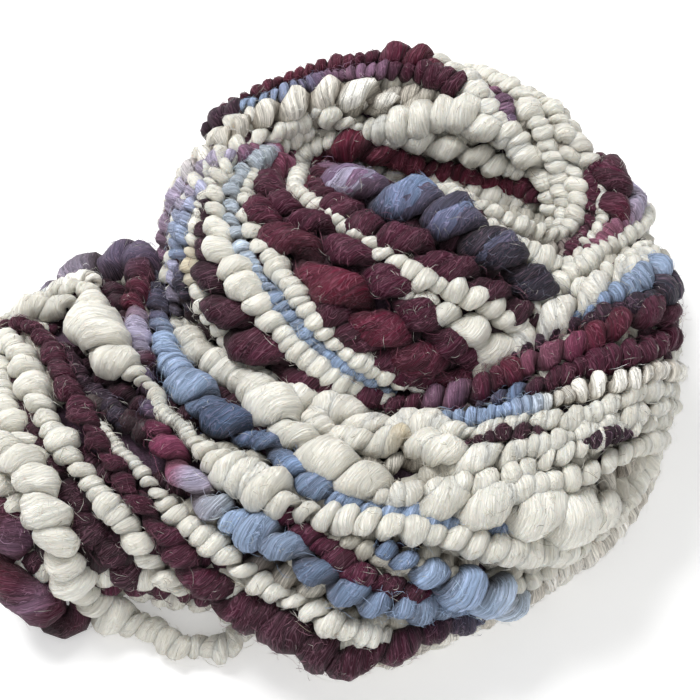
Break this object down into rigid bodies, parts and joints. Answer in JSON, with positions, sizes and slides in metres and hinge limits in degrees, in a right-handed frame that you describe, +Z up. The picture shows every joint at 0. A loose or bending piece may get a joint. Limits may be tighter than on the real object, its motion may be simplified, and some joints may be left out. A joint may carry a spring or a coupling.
{
  "type": "yarn hank",
  "caption": "Hank of thick-and-thin boucle yarn, gathered to a loose bundle and laid down in a snail turn with one end fanned out.",
  "frame": {"origin": "middle of the bounding box, on the surface the hank rests on", "axes": "+Z up, +X to the right of the snail turn, away from the fanned end, -Y towards the front"},
  "size_m": [0.3439, 0.2879, 0.0937],
  "materials": {
    "yarn": "soft twisted wool, ivory with wine, mauve and blue runs"
  },
  "bodies": {
    "root": {"hank": "yarn"}
  },
  "joints": []
}
